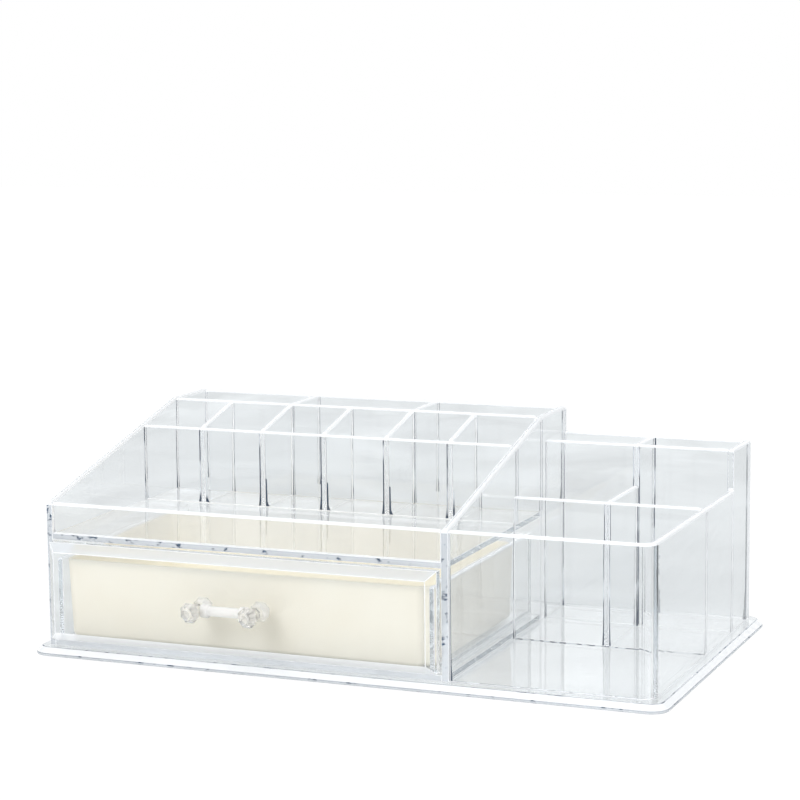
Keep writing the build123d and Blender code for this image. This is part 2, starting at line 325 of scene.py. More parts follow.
def joint_cement_shade(tree, scale, dark):
    """Cement in a joint, painted nearly black as shade for the light it bends away, with clear
    stretches.

    It's dark where its noise is below the level dark, and faint where a sheet mirrors it.
    """
    values = settings().sheet
    pane, surface = pane_shader(tree, clearness=0.12, roughness=0.05, colour=values.cement_marks_and_shade)
    clear_tone = (0.75, 0.80, 0.86)
    colour = tones(tree, noise(tree, scale), [(dark, values.cement_marks_and_shade), (dark + 0.06, clear_tone)])
    tree.links.new(colour, pane.inputs["Base Color"])
    mirrors = add_node(tree, "ShaderNodeLightPath").outputs["Glossy Depth"]
    faint = carry(tree, mirrors, (0.0, 1.0), (0.0, 0.65))
    clear = add_node(tree, "ShaderNodeBsdfTransparent").outputs[0]
    output(tree, blend_shaders(tree, faint, surface, clear))


def cut_acrylic(tree, clearness):
    """Clear plastic cut in facets: bright, with faint marks of the polishing wheel."""
    colour, veil = settings().drawer.cut, (0.55, 0.53, 0.48)
    pane, surface = pane_shader(tree, clearness, roughness=0.02, colour=colour, veil=veil)
    bump(tree, pane, noise(tree, scale=900.0), strength=0.06, distance=0.1 * MM)
    output(tree, surface)


def cream_flock(tree):
    """Velvet flock: a soft nap that lies in slow patches and glows at grazing angles."""
    values = settings().flock
    patches = noise(tree, scale=22.0, detail=3.0)
    cloth = add_node(
        tree,
        "ShaderNodeBsdfPrincipled",
        {
            "Base Color": tones(tree, patches, [(0.3, values.shade), (0.62, values.colour)]),
            "Roughness": 0.95,
            "Specular IOR Level": 0.15,
            "Sheen Weight": 0.35,
            "Sheen Roughness": 0.4,
            "Sheen Tint": (1.0, 0.98, 0.92, 1),
        },
    )
    bump(tree, cloth, noise(tree, scale=2600.0), strength=0.25, distance=0.15 * MM)
    output(tree, cloth.outputs[0])


def studio_floor(tree):
    """A pale floor that is plain white to the camera. To the sheets it shows a painted glow, dimmer
    towards +X and in slow wisps, over a faint diffuse part that keeps the object's shadow.
    """
    path = add_node(tree, "ShaderNodeLightPath").outputs
    through = calculate(tree, "MAXIMUM", path["Is Glossy Ray"], path["Is Transmission Ray"])
    place = add_node(tree, "ShaderNodeTexCoord").outputs["Object"]
    across = add_node(tree, "ShaderNodeSeparateXYZ", {0: place}).outputs["X"]
    # Painted dimming of the glow towards +X, and painted wisps in it, which the sheets show.
    right_dimming = carry(tree, across, (0.2, 0.8), (1.0, 0.55))
    wisps = noise(tree, scale=6.0, detail=4.0, distortion=1.0)
    drift = carry(tree, wisps, (0.35, 0.65), (0.89, 1.11))
    level = calculate(tree, "MULTIPLY", right_dimming, drift)
    floor = (*settings().stage.floor, 1)
    surface = add_node(tree, "ShaderNodeBsdfDiffuse", {"Color": floor}).outputs[0]
    for ray, shade, glow, strength in (
        (through, 0.10, (0.735, 0.765, 0.78, 1), level),
        (path["Is Camera Ray"], 0.12, (0.93, 0.93, 0.93, 1), 1.0),
    ):
        shadowed = add_node(tree, "ShaderNodeBsdfDiffuse", {"Color": (shade, shade, shade, 1)})
        glowing = add_node(tree, "ShaderNodeEmission", {"Color": glow, "Strength": strength})
        lit = add_node(tree, "ShaderNodeAddShader", {0: shadowed.outputs[0], 1: glowing.outputs[0]})
        surface = blend_shaders(tree, ray, surface, lit.outputs[0])
    output(tree, surface)


def material(name, fill, **choices):
    """The material of a name. Its tree is filled when it's first asked for."""
    found = bpy.data.materials.get(name)
    if found is None:
        found = bpy.data.materials.new(name)
        found.use_nodes = True
        found.node_tree.nodes.clear()
        fill(found.node_tree, **choices)
    return found


def sheet_materials():
    """A sheet's materials, in the order of its finishes."""
    return [
        material("clear_acrylic_sheet", clear_acrylic),
        material("polished_edge_glow", polished_edge_glow),
        material("joint_cement_shade", joint_cement_shade, scale=32.0, dark=0.54),
        material("sawn_edge", sawn_edge),
        material("plain_cut_edge", plain_cut_edge),
        material("foot_cement_shade", joint_cement_shade, scale=240.0, dark=0.44),
    ]


def skin(bm, rings):
    """Adds a closed skin through rings of as many points each, and gives its faces."""
    made = [[bm.verts.new(point) for point in ring] for ring in rings]
    count = len(rings[0])
    faces = []
    for lower, upper in zip(made, made[1:]):
        for i in range(count):
            j = (i + 1) % count
            faces.append(bm.faces.new((lower[i], lower[j], upper[j], upper[i])))
    faces += [bm.faces.new(made[0]), bm.faces.new(made[-1])]
    bmesh.ops.recalc_face_normals(bm, faces=faces)
    return faces


def loft(rings):
    """A solid through rings of as many points each."""
    bm = bmesh.new()
    skin(bm, rings)
    return bm


def prism(outline, axis, low, high):
    """A solid: an outline across an axis, carried from low to high along it."""
    along = "XYZ".index(axis)
    rings = []
    for level in (low, high):
        rings.append([(*point[:along], level, *point[along:]) for point in outline])
    return loft(rings)


def rectangle(low, high):
    """The corners of a rectangle, from its lowest one round."""
    return [(low[0], low[1]), (high[0], low[1]), (high[0], high[1]), (low[0], high[1])]


def quarter_turn(steps, start=0):
    """Angles in even steps over a quarter turn that starts at some degrees."""
    return [math.radians(start + 90 * i / steps) for i in range(steps + 1)]


def circle(x, y, radius, angles):
    """Points round a centre at some angles."""
    return [(x + radius * math.cos(angle), y + radius * math.sin(angle)) for angle in angles]


def rounded_rectangle(low, high, radius, steps=8):
    """The outline of a rectangle with round corners, from its lowest corner round."""
    centres = rectangle([value + radius for value in low], [value - radius for value in high])
    outline = []
    for (x, y), start in zip(centres, (180, 270, 0, 90)):
        outline += circle(x, y, radius, quarter_turn(steps, start))
    return outline


def draw_in(bm, distance):
    """Moves every face of a solid inwards by the same distance."""
    bm.normal_update()
    moves = {}
    for vert in bm.verts:
        planes = np.array([face.normal for face in vert.link_faces])
        moves[vert] = np.linalg.lstsq(planes, np.full(len(planes), -distance), rcond=1e-3)[0]
    for vert, move in moves.items():
        vert.co += Vector(move)


def upright_seam(place, way, foot, top, strength):
    """The cement in an upright corner of two sheets, wider at its foot: a strip of painted shade in
    the corner.
    """
    values = settings().sheet
    wide, narrow = values.seam_foot * strength, values.seam * strength
    top -= SEAM_END
    rise = top - foot
    stations = []
    for z, reach in (
        (foot + SEAM_GAP, wide),
        (foot + 0.06 * rise, 0.5 * (wide + narrow)),
        (foot + 0.18 * rise, narrow),
        (top, 0.8 * narrow),
    ):
        corner = Vector((place[0] + way[0] * SEAM_GAP, place[1] + way[1] * SEAM_GAP, z))
        stations.append((corner, Vector((way[0] * reach, 0, 0)), Vector((0, way[1] * reach, 0))))
    return stations, CEMENT_SHADE


def corner_seams(low, high, run, ends, sides=(-1, 1), top=None):
    """The cement, painted dark as shade, in the upright corners of a sheet that runs along an axis.

    The ends give the strength of the cement at the sheet's low end, -1, and at its high end, 1.
    """
    along = "XY".index(run)
    across = 1 - along
    seams = []
    for end, strength in ends.items():
        for side in sides:
            place, way = [0, 0], [0, 0]
            place[along] = low[along] if end < 0 else high[along]
            place[across] = low[across] if side < 0 else high[across]
            way[along], way[across] = -end, side
            level = high.z if top is None else top
            seams.append(upright_seam(place, way, low.z, level, strength))
    return seams


def foot_seam(start, end, way, foot):
    """The cement along the foot of a sheet, from near one corner to near the next: a strip of
    painted shade along the foot.
    """
    start, end = Vector((*start, foot)), Vector((*end, foot))
    short = 1 * MM * (end - start).normalized()
    out, up = Vector((*way, 0)), Vector((0, 0, 1))
    reach = settings().sheet.foot_seam
    corners = [place + SEAM_GAP * (out + up) for place in (start + short, end - short)]
    return [(corner, reach * out, reach * up) for corner in corners], FOOT_CEMENT_SHADE


def lay_cement(bm, stations, finish):
    """Adds a strip of cement with a hollow face: each station is its corner and its two legs."""
    rings = []
    for corner, one, other in stations:
        rings.append((corner, corner + one, corner + 0.3 * (one + other), corner + other))
    for face in skin(bm, rings):
        face.material_index = finish


def level_top(height):
    """Says which edges lie along the top of a sheet, above a height."""

    def polished(edge):
        a, b = (vert.co for vert in edge.verts)
        along = (b - a).normalized()
        return min(a.z, b.z) > height and abs(along.z) < ALIGNED

    return polished


def new_piece(name, bm, materials):
    """A piece in the scene that is made of a solid."""
    mesh = bpy.data.meshes.new(name)
    bm.to_mesh(mesh)
    bm.free()
    for item in materials:
        mesh.materials.append(item)
    piece = bpy.data.objects.new(name, mesh)
    bpy.context.scene.collection.objects.link(piece)
    return piece


def polished_piece(
    name,
    bm,
    body,
    nodes,
    polished=None,
    thickness=3 * MM,
    row=None,
    seams=(),
    ends=(),
    arris=None,
    rim=POLISHED_GLOW,
):
    """Finishes a solid as one sheet: faces drawn in, top edges polished round, the rest eased.

    Polished says which edges are the top ones. The ends are directions and the finish of the
    faces that look there. The rim is the finish of the edges, and the arris is how far the rest
    are eased.
    """
    values = settings().sheet
    draw_in(bm, values.bond)
    for face in bm.faces:
        for way, finish in ends:
            if face.normal.dot(Vector(way)) > ALIGNED:
                face.material_index = finish
    weight = bm.edges.layers.float.new("bevel_weight_edge")
    polish = values.polish * thickness
    for edge in bm.edges:
        if edge.calc_face_angle() > SHARP:
            at_top = polished is not None and polished(edge)
            edge[weight] = 1.0 if at_top else (arris or values.arris) / polish
    for stations, finish in seams:
        lay_cement(bm, stations, finish)
    piece = new_piece(name, bm, sheet_materials())
    bevel = piece.modifiers.new("Polish", "BEVEL")
    bevel.limit_method = "WEIGHT"
    bevel.width = polish
    bevel.segments = 4
    bevel.material = rim
    if row:
        repeat_in_row(piece, *row)
    settle(piece)
    hand_over(piece, body, nodes)


def plate(node, body="housing", top=True, seams=(), ends=()):
    """A sheet with square corners, as large as its CAD node."""
    low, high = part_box(node)
    bm = prism(rectangle(low, high), "Z", low.z, high.z)
    polished = level_top(high.z - 0.5 * MM) if top else None
    thickness = min(b - a for a, b in zip(low, high))
    polished_piece(f"{node}_acrylic", bm, body, [node], polished, thickness, seams=seams, ends=ends)


def settle(piece):
    """Makes a piece a plain mesh with its modifiers applied, smooth but with flat faces flat."""
    piece.data.shade_smooth()
    weights = piece.modifiers.new("Flat faces", "WEIGHTED_NORMAL")
    weights.mode = "FACE_AREA"
    weights.weight = 80
    evaluated = piece.evaluated_get(bpy.context.evaluated_depsgraph_get())
    mesh = bpy.data.meshes.new_from_object(evaluated)
    old = piece.data
    piece.modifiers.clear()
    piece.data = mesh
    bpy.data.meshes.remove(old)
    mesh.name = piece.name


def hand_over(piece, body, nodes):
    """Lets a finished piece ride on its body and stand for its CAD nodes."""
    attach(piece, body)
    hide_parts(*nodes)


def row_of_dividers():
    """Geometry nodes that repeat one divider along X at a steady pitch."""
    tree = bpy.data.node_groups.new("Row of dividers", "GeometryNodeTree")
    tree.interface.new_socket("Geometry", in_out="INPUT", socket_type="NodeSocketGeometry")
    count = tree.interface.new_socket("Count", in_out="INPUT", socket_type="NodeSocketInt")
    count.default_value = 2
    pitch = tree.interface.new_socket("Pitch", in_out="INPUT", socket_type="NodeSocketFloat")
    pitch.default_value = 40 * MM
    for label in ROW_FINISHES:
        tree.interface.new_socket(label, in_out="INPUT", socket_type="NodeSocketMaterial")
    tree.interface.new_socket("Geometry", in_out="OUTPUT", socket_type="NodeSocketGeometry")
    given = add_node(tree, "NodeGroupInput").outputs
    step = add_node(tree, "ShaderNodeCombineXYZ", {"X": given["Pitch"]}).outputs[0]
    places = add_node(tree, "GeometryNodeMeshLine", {"Count": given["Count"], "Offset": step})
    inputs = {"Points": places.outputs[0], "Instance": given["Geometry"]}
    copies = add_node(tree, "GeometryNodeInstanceOnPoints", inputs)
    mesh = add_node(tree, "GeometryNodeRealizeInstances", {0: copies.outputs[0]}).outputs[0]
    number = add_node(tree, "GeometryNodeInputMaterialIndex").outputs[0]
    for index, label in enumerate(ROW_FINISHES):
        same = {"data_type": "INT", "operation": "EQUAL"}
        chosen = add_node(tree, "FunctionNodeCompare", {"A": number, "B": index}, **same).outputs[0]
        inputs = {"Geometry": mesh, "Selection": chosen, "Material": given[label]}
        mesh = add_node(tree, "GeometryNodeSetMaterial", inputs).outputs[0]
    add_node(tree, "NodeGroupOutput", {0: mesh})
    return tree


def repeat_in_row(piece, count, pitch):
    """Repeats a piece along X, with its clear faces, its polished edges and its cement."""
    row = piece.modifiers.new("Row", "NODES")
    row.node_group = row_of_dividers()
    given = {"Count": count, "Pitch": pitch, **dict(zip(ROW_FINISHES, piece.data.materials))}
    for item in row.node_group.interface.items_tree:
        if item.in_out == "INPUT" and item.name in given:
            row[item.identifier] = given[item.name]


class ORGANISER_OT_base_plate(bpy.types.Operator):
    """Makes the base plate with its bevelled flange"""

    bl_idname = "organiser.base_plate"
    bl_label = "Base plate"

    def execute(self, context):
        values = settings().base
        low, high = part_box("base_plate")
        bevel = values.bevel

        def ring(inset, z):
            inner = [low.x + inset, low.y + inset], [high.x - inset, high.y - inset]
            return [(x, y, z) for x, y in rounded_rectangle(*inner, values.corner - inset)]

        bm = loft([ring(0.0, low.z), ring(0.0, high.z - bevel), ring(bevel, high.z)])
        bm.normal_update()
        for face in bm.faces:
            # The flange bevel, facing up, takes the polished finish with its painted glow; the
            # upright sides take the plain cut.
            if abs(face.normal.z) < ALIGNED:
                face.material_index = POLISHED_GLOW if face.normal.z > LEANING else PLAIN
        line = values.line
        polished_piece("base_plate_acrylic", bm, "housing", ["base_plate"], arris=line, rim=SAWN)
        return {"FINISHED"}


class ORGANISER_OT_block_walls(bpy.types.Operator):
    """Makes the upright sheets of the drawer block"""

    bl_idname = "organiser.block_walls"
    bl_label = "Block walls"

    def execute(self, context):
        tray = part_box("tray_floor")[1].z
        lip_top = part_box("tray_lip")[1].z
        slope_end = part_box("brush_wall")[0].y
        for node in ("left_side_wall", "partition_wall"):
            low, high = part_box(node)
            outline = rectangle((low.y, low.z), (high.y, high.z))
            outline[3:] = [(slope_end, high.z), (low.y, lip_top)]
            bm = prism(outline, "X", low.x, high.x)
            top, thickness = level_top(tray), high.x - low.x
            name = f"{node}_acrylic"
            polished_piece(name, bm, "housing", [node], top, thickness, ends=SAWN_FRONT)
        for node, sides, left, right in (
            ("block_back_wall", (-1,), 0.4, 1.1),
            ("brush_wall", (-1, 1), 0.4, 0.4),
            ("tray_lip", (1,), 0.4, 0.4),
            ("lipstick_wall", (-1, 1), 0.7, 0.7),
        ):
            low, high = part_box(node)
            low.z = max(low.z, tray)
            seams = corner_seams(low, high, "X", {-1: left, 1: right}, sides)
            plate(node, seams=seams, ends=BRIGHT_SIDES)
        return {"FINISHED"}


class ORGANISER_OT_block_floors(bpy.types.Operator):
    """Makes the drawer bay's floor and the tray's floor above it"""

    bl_idname = "organiser.block_floors"
    bl_label = "Block floors"

    def execute(self, context):
        plate("drawer_bay_floor", top=False, ends=PLAIN_FRONT)
        plate("tray_floor", top=False, ends=SAWN_FRONT)
        return {"FINISHED"}


class ORGANISER_OT_slot_dividers(bpy.types.Operator):
    """Makes the lipstick and brush dividers, each row from one divider"""

    bl_idname = "organiser.slot_dividers"
    bl_label = "Slot dividers"

    def execute(self, context):
        lipsticks = [f"lipstick_divider_{i}" for i in range(1, 6)]
        low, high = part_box(lipsticks[0])
        lip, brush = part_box("tray_lip"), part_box("brush_wall")
        slope = (brush[1].z - lip[1].z) / (brush[0].y - lip[0].y)
        front_top = lip[1].z + slope * (low.y - lip[0].y)
        outline = [(low.y, low.z), (high.y, low.z), (high.y, high.z), (low.y, front_top)]
        seams = corner_seams(low, high, "Y", {-1: 1.0}, (-1,), front_top)
        seams += corner_seams(low, high, "Y", {-1: 0.3}, (1,), front_top)
        seams += corner_seams(low, high, "Y", {-1: 1.7}, (1,), low.z + 18 * MM)
        seams += corner_seams(low, high, "Y", {1: 0.3})
        self.make_row("lipstick_dividers_acrylic", outline, lipsticks, seams)
        brushes = [f"brush_divider_{i}" for i in range(1, 3)]
        low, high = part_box(brushes[0])
        outline = rectangle((low.y, low.z), (high.y, high.z))
        low.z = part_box("tray_floor")[1].z
        seams = corner_seams(low, high, "Y", {-1: 0.3, 1: 0.3})
        self.make_row("brush_dividers_acrylic", outline, brushes, seams)
        return {"FINISHED"}

    def make_row(self, name, outline, nodes, seams):
        """Makes the first divider of a row and repeats it at the pitch of its nodes."""
        (low, high), (next_low, _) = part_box(nodes[0]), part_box(nodes[1])
        bm = prism(outline, "X", low.x, high.x)
        row = (len(nodes), next_low.x - low.x)
        top = level_top(low.z + 1 * MM)
        polished_piece(name, bm, "housing", nodes, top, high.x - low.x, row, seams, BRIGHT_BACK)


class ORGANISER_OT_bins(bpy.types.Operator):
    """Makes the bins' bent sheet, back, cross walls and dividers"""

    bl_idname = "organiser.bins"
    bl_label = "Bins"

    def execute(self, context):
        self.make_bent_wall()
        for node, run, sides, first, last in (
            ("bin_back_wall", "X", (-1,), 0.4, 1.4),
            ("bin_middle_wall", "X", (-1, 1), 0.3, 0.3),
            ("bin_rear_wall", "X", (-1, 1), 0.3, 0.3),
            ("bin_middle_divider", "Y", (-1, 1), 0.6, 0.6),
            ("bin_rear_divider", "Y", (-1, 1), 0.9, 0.9),
        ):
            low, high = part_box(node)
            seams = corner_seams(low, high, run, {-1: first, 1: last}, sides)
            if node == "bin_middle_wall":
                seams.append(foot_seam((low.x, low.y), (high.x, low.y), (0, -1), low.z))
            plate(node, seams=seams, ends=BRIGHT_SIDES if run == "X" else BRIGHT_BACK)
        return {"FINISHED"}

    def make_bent_wall(self):
        """Makes the sheet that is bent round the front corner and higher beside the rear bins."""
        low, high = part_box("bin_bent_wall")
        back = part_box("bin_back_wall")
        wall = back[1].y - back[0].y
        corner = 8 * MM
        step_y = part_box("bin_rear_wall")[0].y
        step_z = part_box("bin_middle_wall")[1].z
        inner_x, inner_y = high.x - wall, low.y + wall
        outer, inner = [(low.x, low.y)], [(low.x, inner_y)]
        centre = Vector((high.x - corner, low.y + corner))
        for angle in quarter_turn(10, start=-90):
            way = Vector((math.cos(angle), math.sin(angle)))
            outer.append(tuple(centre + corner * way))
            inner.append(tuple(centre + (corner - wall) * way))
        outer += [(high.x, step_y), (high.x, high.y)]
        inner += [(inner_x, step_y), (inner_x, high.y)]
        bm = self.stepped_sheet(outer, inner, low.z, step_z, high.z)
        seams = [
            upright_seam((low.x, inner_y), (1, 1), low.z, step_z, 0.8),
            foot_seam((low.x, inner_y), (high.x - corner, inner_y), (0, 1), low.z),
        ]
        sheets = [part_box(node) for node in ("bin_middle_wall", "bin_rear_wall", "bin_back_wall")]
        starts = [low.y + corner] + [sheet[1].y for sheet in sheets]
        for start, sheet in zip(starts, sheets):
            seams.append(foot_seam((inner_x, start), (inner_x, sheet[0].y), (-1, 0), low.z))
        node, top = "bin_bent_wall", level_top(step_z - 1 * MM)
        polished_piece(f"{node}_acrylic", bm, "housing", [node], top, wall, seams=seams)

    def stepped_sheet(self, outer, inner, foot, step, top):
        """An upright sheet between two lines of points, higher along their last stretch."""
        bm = bmesh.new()
        count = len(outer)
        sides = []
        for line in (outer, inner):
            feet = [bm.verts.new((x, y, foot)) for x, y in line]
            steps = [bm.verts.new((x, y, step)) for x, y in line]
            tops = [bm.verts.new((x, y, top)) for x, y in line[-2:]]
            sides.append((feet, steps, tops))
        for (feet, steps, tops), way in zip(sides, (1, -1)):
            for i in range(count - 1):
                bm.faces.new((feet[i], feet[i + 1], steps[i + 1], steps[i])[::way])
            bm.faces.new((steps[-2], steps[-1], tops[1], tops[0])[::way])
        (feet, steps, tops), (inner_feet, inner_steps, inner_tops) = sides
        for i in range(count - 1):
            bm.faces.new((feet[i], inner_feet[i], inner_feet[i + 1], feet[i + 1]))
            if i < count - 2:
                bm.faces.new((steps[i], steps[i + 1], inner_steps[i + 1], inner_steps[i]))
        bm.faces.new((tops[0], tops[1], inner_tops[1], inner_tops[0]))
        bm.faces.new((steps[-2], tops[0], inner_tops[0], inner_steps[-2]))
        bm.faces.new((feet[0], steps[0], inner_steps[0], inner_feet[0]))
        bm.faces.new((feet[-1], inner_feet[-1], inner_steps[-1], inner_tops[1], tops[1], steps[-1]))
        bmesh.ops.recalc_face_normals(bm, faces=bm.faces)
        return bm


class ORGANISER_OT_drawer_box(bpy.types.Operator):
    """Makes the drawer's sides, back and bottom"""

    bl_idname = "organiser.drawer_box"
    bl_label = "Drawer box"

    def execute(self, context):
        for node in ("drawer_left_side", "drawer_right_side", "drawer_back"):
            plate(node, body="drawer")
        plate("drawer_bottom", body="drawer", top=False)
        return {"FINISHED"}


class ORGANISER_OT_drawer_front(bpy.types.Operator):
    """Makes the drawer's thick front panel with its wide bevel"""

    bl_idname = "organiser.drawer_front"
    bl_label = "Drawer front"

    def execute(self, context):
        low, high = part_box("drawer_front")
        bevel = settings().drawer.bevel

        def ring(inset, y):
            inner = (low.x + inset, low.z + inset), (high.x - inset, high.z - inset)
            return [(x, y, z) for x, z in rectangle(*inner)]

        bm = loft([ring(0.0, high.y), ring(0.0, low.y + bevel), ring(bevel, low.y)])
        bm.normal_update()
        for face in bm.faces:
            # The lower bevel takes the polished finish with its painted glow; the upper bevel takes
            # the plain cut.
            if face.normal.y < -LEANING and abs(face.normal.z) > LEANING:
                face.material_index = PLAIN if face.normal.z > 0 else POLISHED_GLOW
        polished_piece("drawer_front_acrylic", bm, "drawer", ["drawer_front"])
        return {"FINISHED"}


class ORGANISER_OT_velvet_liner(bpy.types.Operator):
    """Makes the flocked tray with its soft corners"""

    bl_idname = "organiser.velvet_liner"
    bl_label = "Velvet liner"

    def execute(self, context):
        values = settings().flock
        low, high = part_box("velvet_liner")
        lean = math.tan(math.radians(values.taper))
        wall, foot = values.thickness, values.foot
        inner_foot = max(foot - wall, 0.8 * MM)
        rim = 0.4 * wall
        height = high.z - low.z
        steps, rim_steps = 6, 4
        rings = []

        def add_ring(inset, z):
            inner = [low.x + inset, low.y + inset], [high.x - inset, high.y - inset]
            outline = rounded_rectangle(*inner, max(values.corner - inset, 1 * MM), steps=10)
            rings.append([(x, y, z) for x, y in outline])

        for angle in quarter_turn(steps):
            inset = lean * (height - foot) + foot * (1 - math.sin(angle))
            add_ring(inset, low.z + foot * (1 - math.cos(angle)))
        for i in range(1, steps):
            level = foot + (height - rim - foot) * i / steps
            add_ring(lean * (height - level), low.z + level)
        for angle in quarter_turn(rim_steps):
            add_ring(rim * (1 - math.cos(angle)), high.z - rim * (1 - math.sin(angle)))
        for angle in quarter_turn(rim_steps):
            add_ring(wall - rim + rim * math.sin(angle), high.z - rim * (1 - math.cos(angle)))
        for i in range(1, steps + 1):
            level = height - rim - (height - rim - wall - inner_foot) * i / steps
            add_ring(wall + lean * (height - level), low.z + level)
        side = wall + lean * (height - wall - inner_foot)
        for angle in quarter_turn(steps)[1:]:
            inset = side + inner_foot * (1 - math.cos(angle))
            add_ring(inset, low.z + wall + inner_foot * (1 - math.sin(angle)))
        bm = loft(rings)
        bmesh.ops.triangulate(bm, faces=[face for face in bm.faces if len(face.verts) > 4])
        piece = new_piece("flocked_tray", bm, [material("cream_flock_nap", cream_flock)])
        settle(piece)
        hand_over(piece, "drawer", ["velvet_liner"])
        return {"FINISHED"}


class ORGANISER_OT_handle(bpy.types.Operator):
    """Makes the handle's cut posts and its bar"""

    bl_idname = "organiser.handle"
    bl_label = "Handle"

    def execute(self, context):
        for node in ("handle_left_post", "handle_right_post"):
            self.make_post(node)
        self.make_bar()
        return {"FINISHED"}

    def make_post(self, node):
        """Makes a faceted post with a lobe at its foot, a waist, and a lobe near its tip."""
        values = settings().drawer
        low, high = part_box(node)
        middle = (low + high) / 2
        turn = math.pi / values.sides
        angles = [turn + 2 * turn * i for i in range(values.sides)]
        rings = []
        for distance, radius in (
            (0.0, values.foot),
            (3.0 * MM, values.lobe),
            (6.4 * MM, values.waist),
            (14.6 * MM, values.waist),
            (18.6 * MM, values.lobe),
            (23.5 * MM, values.tip),
        ):
            reach = radius / math.cos(turn)
            y = high.y - distance
            rings.append([(x, y, z) for x, z in circle(middle.x, middle.z, reach, angles)])
        bm = loft(rings)
        draw_in(bm, settings().sheet.bond)
        finish = material("cut_acrylic_facets", cut_acrylic, clearness=0.82)
        hand_over(new_piece(f"{node}_cut", bm, [finish]), "drawer", [node])

    def make_bar(self):
        """Makes the round bar with a collar at each end."""
        low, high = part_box("handle_bar")
        middle, collar = (low + high) / 2, (high.z - low.z) / 2
        half, shaft, rounds = (high.x - low.x) / 2, settings().drawer.bar, 32
        angles = [2 * math.pi * i / rounds for i in range(rounds)]
        left = [
            (-half, 0.9 * collar),
            (0.4 * MM - half, collar),
            (4.0 * MM - half, collar),
            (5.2 * MM - half, shaft),
        ]
        rings = []
        right = [(-x, radius) for x, radius in reversed(left)]
        for x, radius in left + right:
            ring = circle(middle.y, middle.z, radius, angles)
            rings.append([(middle.x + x, y, z) for y, z in ring])
        bm = loft(rings)
        draw_in(bm, settings().sheet.bond)
        finish = material("turned_acrylic_bar", cut_acrylic, clearness=0.4)
        piece = new_piece("handle_bar_turned", bm, [finish])
        eased = piece.modifiers.new("Eased", "BEVEL")
        eased.limit_method = "ANGLE"
        eased.angle_limit = math.radians(20)
        eased.width = 0.15 * MM
        eased.segments = 2
        settle(piece)
        hand_over(piece, "drawer", ["handle_bar"])


def softbox(name, place, width, height, power, mirrored=False):
    """A soft lamp that faces the object. The sheets mirror it only if told to."""
    lamp = bpy.data.lights.new(name, "AREA")
    lamp.shape = "RECTANGLE"
    lamp.size, lamp.size_y = width, height
    lamp.energy = power
    holder = bpy.data.objects.new(name, lamp)
    bpy.context.scene.collection.objects.link(holder)
    holder.location = place
    target = Vector((0, 0, 0.05))
    holder.rotation_euler = (target - Vector(place)).to_track_quat("-Z", "Y").to_euler()
    holder.visible_camera = False
    holder.visible_glossy = mirrored


def background(tree, colour, strength):
    """One background of the world."""
    inputs = {"Color": colour, "Strength": strength}
    return add_node(tree, "ShaderNodeBackground", inputs).outputs[0]


def studio_world():
    """White to the camera. The sheets show a pale studio with clouds and a dark side.

    The height runs from 0 straight down over 0.5 at the horizon to 1 straight up. A dimmer band
    lies just above the horizon, where the tray's floor mirrors it. Paths that were mirrored see the
    right side darker.
    """
    values = settings().stage
    sky, dark = values.sky, values.dark
    bright, dimmer, pale = (1.25, 1.28, 1.30), (0.84, 0.84, 0.82), (0.85, 0.88, 0.90)
    lamp_glow = (1.8, 1.8, 1.8)
    world = bpy.data.worlds.new("Studio")
    bpy.context.scene.world = world
    world.use_nodes = True
    tree = world.node_tree
    tree.nodes.clear()
    place = add_node(tree, "ShaderNodeTexCoord").outputs["Generated"]
    way = add_node(tree, "ShaderNodeSeparateXYZ", {0: place}).outputs
    height = carry(tree, way["Z"], (-1.0, 1.0), (0.0, 1.0))
    ahead = tones(
        tree,
        height,
        [
            (0.0, sky),
            (0.53, sky),
            (0.565, bright),
            (0.589, bright),
            (0.596, dimmer),
            (0.606, dimmer),
            (0.618, bright),
            (0.645, bright),
            (0.70, pale),
            (0.86, pale),
            (0.93, lamp_glow),
        ],
    )
    stops = [(0.0, sky), (0.55, sky), (0.63, dark), (0.84, dark), (0.93, lamp_glow)]
    behind = tones(tree, height, stops)
    smooth = {"interpolation_type": "SMOOTHSTEP"}
    turn = carry(tree, way["Y"], (-0.45, -0.1), (0.0, 1.0), **smooth)
    around = add_node(tree, "ShaderNodeMix", {0: turn, 6: behind, 7: ahead}, data_type="RGBA")
    layers = {"stretch": (1.0, 1.0, 6.0), "space": "Generated"}
    clouds = noise(tree, scale=5.0, detail=3.0, distortion=0.6, **layers)
    shades = carry(tree, clouds, (0.35, 0.65), (0.84, 1.15))
    right_dimming = carry(tree, way["X"], (0.05, 0.40), (1.0, 0.62), **smooth)
    path = add_node(tree, "ShaderNodeLightPath").outputs
    mirrored = calculate(tree, "GREATER_THAN", path["Glossy Depth"], 0.5)
    flagged = add_node(tree, "ShaderNodeMix", {"Factor": mirrored, "A": 1.0, "B": right_dimming})
    level = calculate(tree, "MULTIPLY", shades, flagged.outputs["Result"])
    room = background(tree, around.outputs[2], level)
    plain = background(tree, (0.93, 0.93, 0.93, 1), 0.80)
    white = background(tree, (1, 1, 1, 1), 1.0)
    lit = blend_shaders(tree, path["Is Diffuse Ray"], room, plain)
    seen = blend_shaders(tree, path["Is Camera Ray"], lit, white)
    add_node(tree, "ShaderNodeOutputWorld", {"Surface": seen})


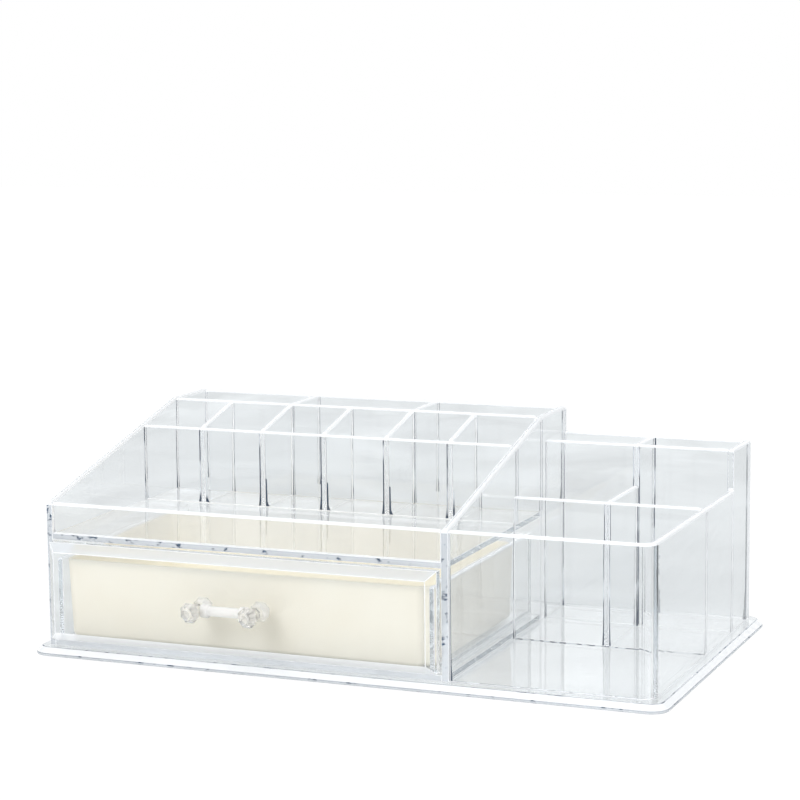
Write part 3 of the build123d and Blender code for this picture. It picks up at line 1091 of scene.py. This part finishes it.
def place_camera(scene):
    """The photograph's camera: its place, turn and lens."""
    place = (0.51735, -1.2576, 0.3352)
    yaw, pitch, roll = math.radians(22.436), math.radians(-8.244), math.radians(-0.596)
    focal_px, frame_px, sensor = 2435.02, 800, 36.0
    forward = Vector(
        (-math.sin(yaw) * math.cos(pitch), math.cos(yaw) * math.cos(pitch), math.sin(pitch))
    )
    right = forward.cross(Vector((0, 0, 1))).normalized()
    up = right.cross(forward)
    rolled_right = right * math.cos(roll) + up * math.sin(roll)
    rolled_up = up * math.cos(roll) - right * math.sin(roll)
    camera = bpy.data.cameras.new("camera")
    camera.lens = focal_px * sensor / frame_px
    camera.sensor_width = sensor
    camera.clip_start, camera.clip_end = 0.05, 50.0
    holder = bpy.data.objects.new("camera", camera)
    scene.collection.objects.link(holder)
    turn = Matrix((rolled_right, rolled_up, -forward)).transposed().to_4x4()
    holder.matrix_world = Matrix.Translation(place) @ turn
    scene.camera = holder


def light_paths(scene):
    """Room for light to cross every sheet, and plain display colours."""
    scene.view_settings.view_transform = "Standard"
    scene.cycles.max_bounces = 96
    scene.cycles.transmission_bounces = 64
    scene.cycles.glossy_bounces = 64
    scene.cycles.transparent_max_bounces = 64


class ORGANISER_OT_stage(bpy.types.Operator):
    """Sets the floor, the lamps, the world and the camera"""

    bl_idname = "organiser.stage"
    bl_label = "Stage"

    def execute(self, context):
        scene = context.scene
        reach, drop = 4.0, 0.1 * MM
        mesh = bpy.data.meshes.new("floor")
        corners = [(x, y, -drop) for x, y in rectangle((-reach, -reach), (reach, reach))]
        mesh.from_pydata(corners, [], [(0, 1, 2, 3)])
        mesh.materials.append(material("studio_floor", studio_floor))
        floor = bpy.data.objects.new("floor", mesh)
        scene.collection.objects.link(floor)
        studio_world()
        softbox("overhead_softbox", (0.1, 0.3, 1.3), width=1.4, height=1.0, power=0.6, mirrored=True)
        softbox("front_softbox", (-0.2, -1.38, 0.75), width=0.5, height=0.5, power=7.9)
        softbox("right_fill", (1.2, -0.5, 0.6), width=0.8, height=0.8, power=3.8)
        place_camera(scene)
        light_paths(scene)
        return {"FINISHED"}


class ORGANISER_PT_panel(bpy.types.Panel):
    """Lists the organiser's pieces in the sidebar"""

    bl_idname = "ORGANISER_PT_panel"
    bl_label = "Organiser"
    bl_space_type = "VIEW_3D"
    bl_region_type = "UI"
    bl_category = "Organiser"

    def draw(self, context):
        for operator in OPERATORS:
            self.layout.operator(operator.bl_idname)
        for name in ("sheet", "base", "drawer", "flock", "stage"):
            group = getattr(context.scene.organiser, name)
            box = self.layout.box()
            box.label(text=name.capitalize())
            for prop in group.__annotations__:
                box.prop(group, prop)


OPERATORS = (
    ORGANISER_OT_base_plate,
    ORGANISER_OT_block_walls,
    ORGANISER_OT_block_floors,
    ORGANISER_OT_slot_dividers,
    ORGANISER_OT_bins,
    ORGANISER_OT_drawer_box,
    ORGANISER_OT_drawer_front,
    ORGANISER_OT_velvet_liner,
    ORGANISER_OT_handle,
    ORGANISER_OT_stage,
)
CLASSES = (
    OrganiserSheetSettings,
    OrganiserBaseSettings,
    OrganiserDrawerSettings,
    OrganiserFlockSettings,
    OrganiserStageSettings,
    OrganiserSettings,
    *OPERATORS,
    ORGANISER_PT_panel,
)


def register():
    for item in CLASSES:
        bpy.utils.register_class(item)
    bpy.types.Scene.organiser = PointerProperty(type=OrganiserSettings)


def unregister():
    del bpy.types.Scene.organiser
    for item in reversed(CLASSES):
        bpy.utils.unregister_class(item)


def main():
    register()
    bpy.ops.organiser.base_plate()
    bpy.ops.organiser.block_walls()
    bpy.ops.organiser.block_floors()
    bpy.ops.organiser.slot_dividers()
    bpy.ops.organiser.bins()
    bpy.ops.organiser.drawer_box()
    bpy.ops.organiser.drawer_front()
    bpy.ops.organiser.velvet_liner()
    bpy.ops.organiser.handle()
    bpy.ops.organiser.stage()


if __name__ == "__main__":
    main()
